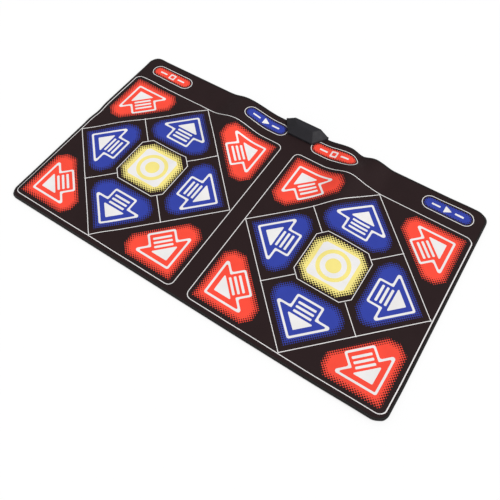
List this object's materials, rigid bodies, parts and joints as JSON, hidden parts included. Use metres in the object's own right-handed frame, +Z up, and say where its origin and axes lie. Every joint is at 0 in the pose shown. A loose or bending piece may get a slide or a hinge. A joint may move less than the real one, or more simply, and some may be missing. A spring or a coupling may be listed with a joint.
{
  "type": "folding double dance mat controller",
  "caption": "Soft folding mat with two square pads of pressure keys, side by side, and a control box at the rear edge.",
  "frame": {"origin": "middle of the whole object's outline in plan, on the floor that the mat lies on", "axes": "+X to the right along the long side as a player faces the control box, +Y towards the rear edge with the control box, +Z up"},
  "size_m": [1.65, 0.9496, 0.045],
  "materials": {
    "base_rubber": "fine textured anti-slip sheet",
    "foam": "open soft foam",
    "circuit_film": "thin polyester film with printed contacts",
    "cover_black": "printed soft vinyl cover, brown-black, low sheen",
    "binding_black": "woven binding tape",
    "key_red": "printed soft vinyl, red",
    "key_blue": "printed soft vinyl, blue",
    "key_yellow": "printed soft vinyl, pale yellow",
    "box_plastic": "moulded plastic, dark grey, fine texture",
    "board_green": "circuit board lacquer",
    "chip_epoxy": "black epoxy drop over the chip",
    "header_plastic": "pale moulded nylon",
    "bar_rubber": "soft rubber",
    "screw_steel": "zinc-plated steel"
  },
  "bodies": {
    "centre_panel": {"centre_base_sheet": "base_rubber", "centre_base_foam": "foam", "centre_lower_film": "circuit_film", "centre_spacer_foam": "foam", "centre_upper_film": "circuit_film", "centre_top_cover": "cover_black", "front_edge_binding": "binding_black", "rear_left_edge_binding": "binding_black", "rear_right_edge_binding": "binding_black", "upper_box_shell": "box_plastic", "lower_box_shell": "box_plastic", "front_left_case_screw": "screw_steel", "front_right_case_screw": "screw_steel", "rear_left_case_screw": "screw_steel", "rear_right_case_screw": "screw_steel", "circuit_board": "board_green", "controller_chip": "chip_epoxy", "cord_header": "header_plastic", "left_pressure_bar": "bar_rubber", "right_pressure_bar": "bar_rubber", "left_board_screw": "screw_steel", "right_board_screw": "screw_steel", "cord_bush": "bar_rubber"},
    "left_flap": {"left_base_sheet": "base_rubber", "left_base_foam": "foam", "left_lower_film": "circuit_film", "left_spacer_foam": "foam", "left_upper_film": "circuit_film", "left_top_cover": "cover_black", "left_edge_binding": "binding_black"},
    "right_flap": {"right_base_sheet": "base_rubber", "right_base_foam": "foam", "right_lower_film": "circuit_film", "right_spacer_foam": "foam", "right_upper_film": "circuit_film", "right_top_cover": "cover_black", "right_edge_binding": "binding_black"},
    "left_pad_centre": {"left_pad_centre_key": "key_yellow"},
    "left_pad_up": {"left_pad_up_key": "key_blue"},
    "left_pad_left": {"left_pad_left_key": "key_blue"},
    "left_pad_down": {"left_pad_down_key": "key_blue"},
    "left_pad_right": {"left_pad_right_key": "key_blue"},
    "left_pad_up_left": {"left_pad_up_left_key": "key_red"},
    "left_pad_down_left": {"left_pad_down_left_key": "key_red"},
    "left_pad_down_right": {"left_pad_down_right_key": "key_red"},
    "left_pad_up_right": {"left_pad_up_right_key": "key_red"},
    "left_pad_select": {"left_pad_select_key": "key_red"},
    "left_pad_start": {"left_pad_start_key": "key_blue"},
    "right_pad_centre": {"right_pad_centre_key": "key_yellow"},
    "right_pad_up": {"right_pad_up_key": "key_blue"},
    "right_pad_left": {"right_pad_left_key": "key_blue"},
    "right_pad_down": {"right_pad_down_key": "key_blue"},
    "right_pad_right": {"right_pad_right_key": "key_blue"},
    "right_pad_up_left": {"right_pad_up_left_key": "key_red"},
    "right_pad_down_left": {"right_pad_down_left_key": "key_red"},
    "right_pad_down_right": {"right_pad_down_right_key": "key_red"},
    "right_pad_up_right": {"right_pad_up_right_key": "key_red"},
    "right_pad_select": {"right_pad_select_key": "key_red"},
    "right_pad_start": {"right_pad_start_key": "key_blue"}
  },
  "joints": [
    {"name": "left_fold", "type": "hinge", "parent": "centre_panel", "child": "left_flap", "pos_m": [-0.561, 0, 0.0115], "axis": [0, 1, 0], "range_deg": [0, 172]},
    {"name": "right_fold", "type": "hinge", "parent": "centre_panel", "child": "right_flap", "pos_m": [0.561, 0, 0.0115], "axis": [0, -1, 0], "range_deg": [0, 172]},
    {"name": "left_pad_centre_press", "type": "slide", "parent": "centre_panel", "child": "left_pad_centre", "axis": [0, 0, -1], "range_m": [0, 0.0018], "stiffness_N_per_m": 4000, "springref_m": -0.0005},
    {"name": "left_pad_up_press", "type": "slide", "parent": "centre_panel", "child": "left_pad_up", "axis": [0, 0, -1], "range_m": [0, 0.0018], "stiffness_N_per_m": 4000, "springref_m": -0.0005},
    {"name": "left_pad_left_press", "type": "slide", "parent": "left_flap", "child": "left_pad_left", "axis": [0, 0, -1], "range_m": [0, 0.0018], "stiffness_N_per_m": 4000, "springref_m": -0.0005},
    {"name": "left_pad_down_press", "type": "slide", "parent": "centre_panel", "child": "left_pad_down", "axis": [0, 0, -1], "range_m": [0, 0.0018], "stiffness_N_per_m": 4000, "springref_m": -0.0005},
    {"name": "left_pad_right_press", "type": "slide", "parent": "centre_panel", "child": "left_pad_right", "axis": [0, 0, -1], "range_m": [0, 0.0018], "stiffness_N_per_m": 4000, "springref_m": -0.0005},
    {"name": "left_pad_up_left_press", "type": "slide", "parent": "left_flap", "child": "left_pad_up_left", "axis": [0, 0, -1], "range_m": [0, 0.0018], "stiffness_N_per_m": 4000, "springref_m": -0.0005},
    {"name": "left_pad_down_left_press", "type": "slide", "parent": "left_flap", "child": "left_pad_down_left", "axis": [0, 0, -1], "range_m": [0, 0.0018], "stiffness_N_per_m": 4000, "springref_m": -0.0005},
    {"name": "left_pad_down_right_press", "type": "slide", "parent": "centre_panel", "child": "left_pad_down_right", "axis": [0, 0, -1], "range_m": [0, 0.0018], "stiffness_N_per_m": 4000, "springref_m": -0.0005},
    {"name": "left_pad_up_right_press", "type": "slide", "parent": "centre_panel", "child": "left_pad_up_right", "axis": [0, 0, -1], "range_m": [0, 0.0018], "stiffness_N_per_m": 4000, "springref_m": -0.0005},
    {"name": "left_pad_select_press", "type": "slide", "parent": "left_flap", "child": "left_pad_select", "axis": [0, 0, -1], "range_m": [0, 0.0018], "stiffness_N_per_m": 4000, "springref_m": -0.0005},
    {"name": "left_pad_start_press", "type": "slide", "parent": "centre_panel", "child": "left_pad_start", "axis": [0, 0, -1], "range_m": [0, 0.0018], "stiffness_N_per_m": 4000, "springref_m": -0.0005},
    {"name": "right_pad_centre_press", "type": "slide", "parent": "centre_panel", "child": "right_pad_centre", "axis": [0, 0, -1], "range_m": [0, 0.0018], "stiffness_N_per_m": 4000, "springref_m": -0.0005},
    {"name": "right_pad_up_press", "type": "slide", "parent": "centre_panel", "child": "right_pad_up", "axis": [0, 0, -1], "range_m": [0, 0.0018], "stiffness_N_per_m": 4000, "springref_m": -0.0005},
    {"name": "right_pad_left_press", "type": "slide", "parent": "centre_panel", "child": "right_pad_left", "axis": [0, 0, -1], "range_m": [0, 0.0018], "stiffness_N_per_m": 4000, "springref_m": -0.0005},
    {"name": "right_pad_down_press", "type": "slide", "parent": "centre_panel", "child": "right_pad_down", "axis": [0, 0, -1], "range_m": [0, 0.0018], "stiffness_N_per_m": 4000, "springref_m": -0.0005},
    {"name": "right_pad_right_press", "type": "slide", "parent": "right_flap", "child": "right_pad_right", "axis": [0, 0, -1], "range_m": [0, 0.0018], "stiffness_N_per_m": 4000, "springref_m": -0.0005},
    {"name": "right_pad_up_left_press", "type": "slide", "parent": "centre_panel", "child": "right_pad_up_left", "axis": [0, 0, -1], "range_m": [0, 0.0018], "stiffness_N_per_m": 4000, "springref_m": -0.0005},
    {"name": "right_pad_down_left_press", "type": "slide", "parent": "centre_panel", "child": "right_pad_down_left", "axis": [0, 0, -1], "range_m": [0, 0.0018], "stiffness_N_per_m": 4000, "springref_m": -0.0005},
    {"name": "right_pad_down_right_press", "type": "slide", "parent": "right_flap", "child": "right_pad_down_right", "axis": [0, 0, -1], "range_m": [0, 0.0018], "stiffness_N_per_m": 4000, "springref_m": -0.0005},
    {"name": "right_pad_up_right_press", "type": "slide", "parent": "right_flap", "child": "right_pad_up_right", "axis": [0, 0, -1], "range_m": [0, 0.0018], "stiffness_N_per_m": 4000, "springref_m": -0.0005},
    {"name": "right_pad_select_press", "type": "slide", "parent": "centre_panel", "child": "right_pad_select", "axis": [0, 0, -1], "range_m": [0, 0.0018], "stiffness_N_per_m": 4000, "springref_m": -0.0005},
    {"name": "right_pad_start_press", "type": "slide", "parent": "right_flap", "child": "right_pad_start", "axis": [0, 0, -1], "range_m": [0, 0.0018], "stiffness_N_per_m": 4000, "springref_m": -0.0005}
  ]
}
